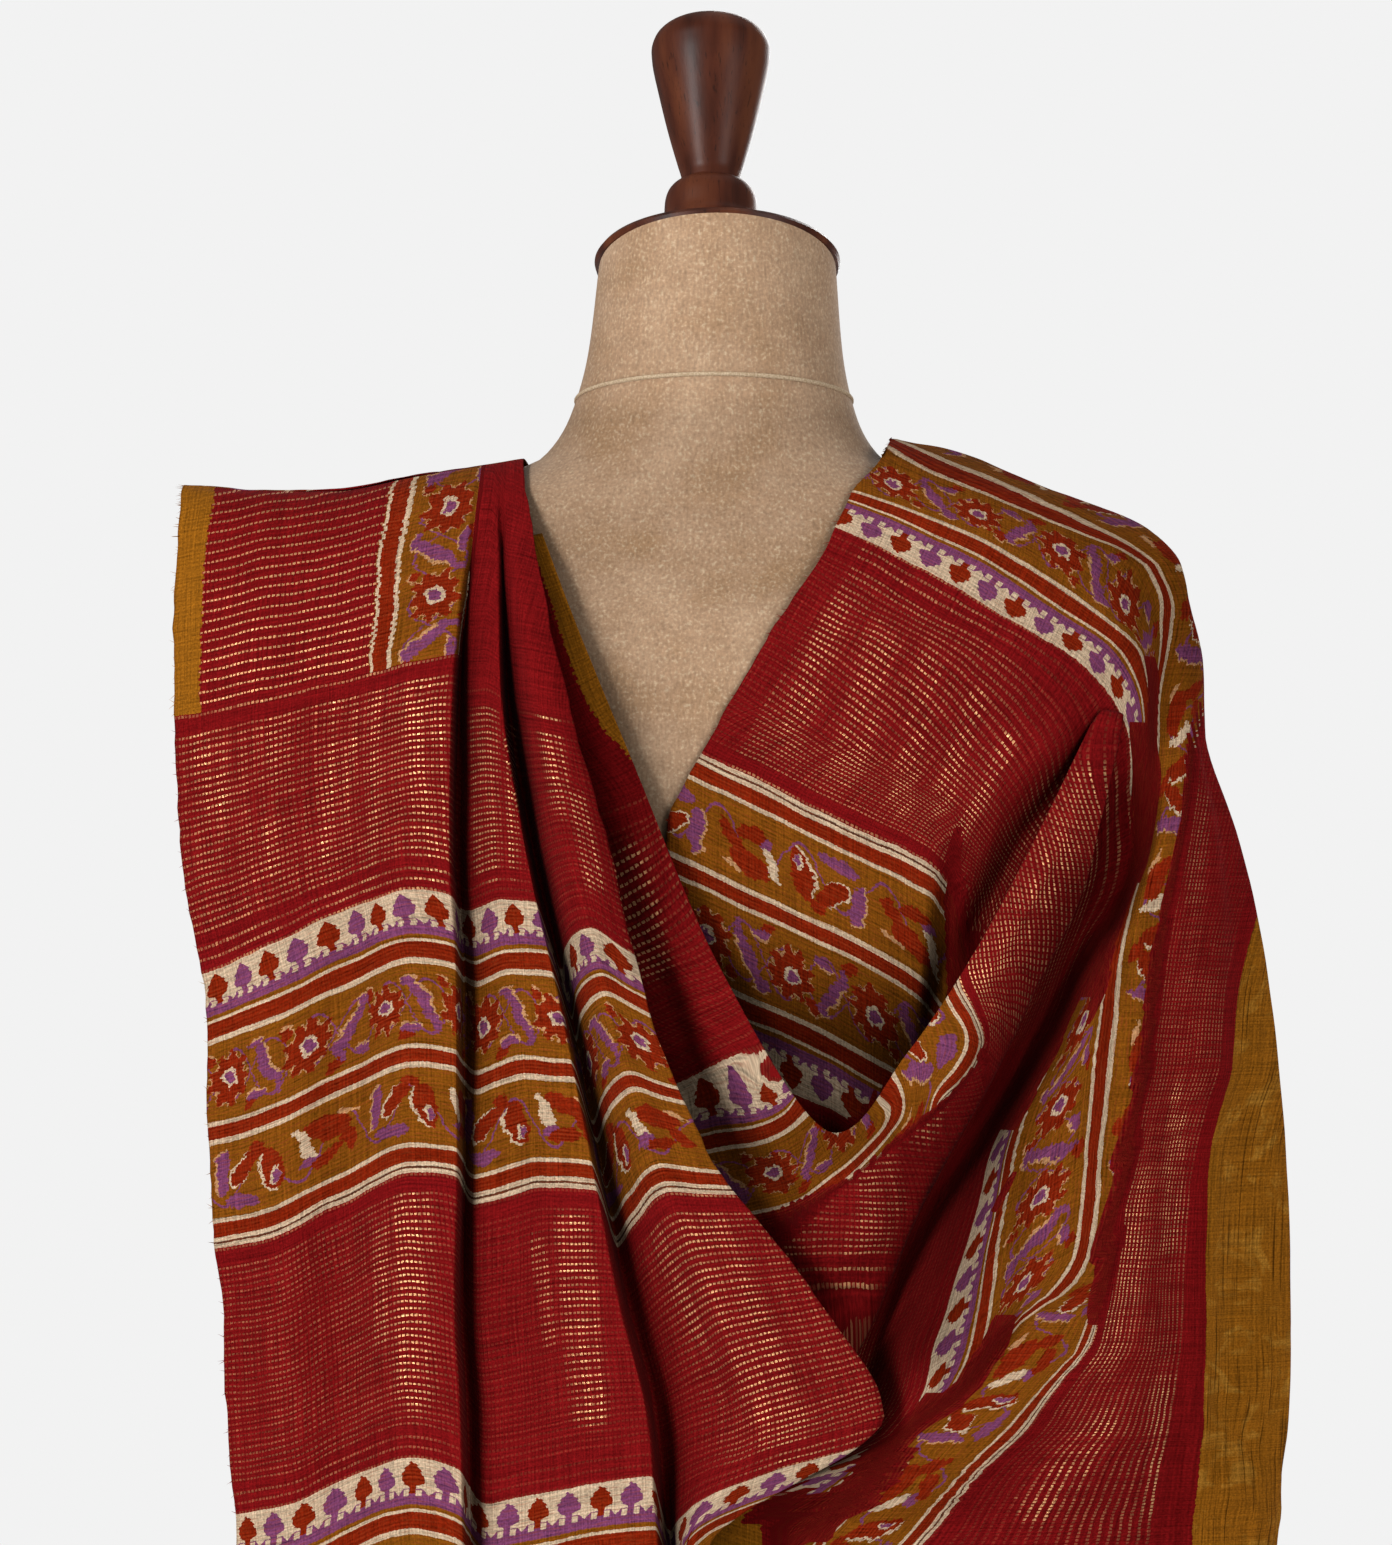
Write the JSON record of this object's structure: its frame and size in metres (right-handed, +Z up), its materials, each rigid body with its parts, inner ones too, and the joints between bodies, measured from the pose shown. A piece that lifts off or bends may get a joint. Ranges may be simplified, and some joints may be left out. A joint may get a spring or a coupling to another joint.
{
  "type": "sari on a limbless dress form with its stand",
  "caption": "Red silk sari with woven borders, pleated over the left shoulder and carried round to the right, on a dress form with stand.",
  "frame": {"origin": "centre of the flat underside of the stand's base, on the floor", "axes": "+Z up; -Y is the back of the dress form, the side the picture shows; +X is the wearer's right"},
  "size_m": [0.5134, 0.4624, 1.5668],
  "materials": {
    "sari_silk": "slubby raw silk with metallic gold weft lines and woven borders",
    "form_linen": "tan napped linen",
    "turned_wood": "dark satin varnish",
    "pole_steel": "satin black"
  },
  "bodies": {
    "root": {"form_torso": "form_linen", "form_bottom_board": "turned_wood", "neck_cap": "turned_wood", "neck_finial": "turned_wood", "stand_base": "turned_wood", "stand_pole": "pole_steel", "sari_right_drape": "sari_silk", "sari_back_fall": "sari_silk", "sari_back_swag": "sari_silk", "sari_front_band": "sari_silk", "sari_skirt": "sari_silk", "sari_front_pleats": "sari_silk"}
  },
  "joints": []
}
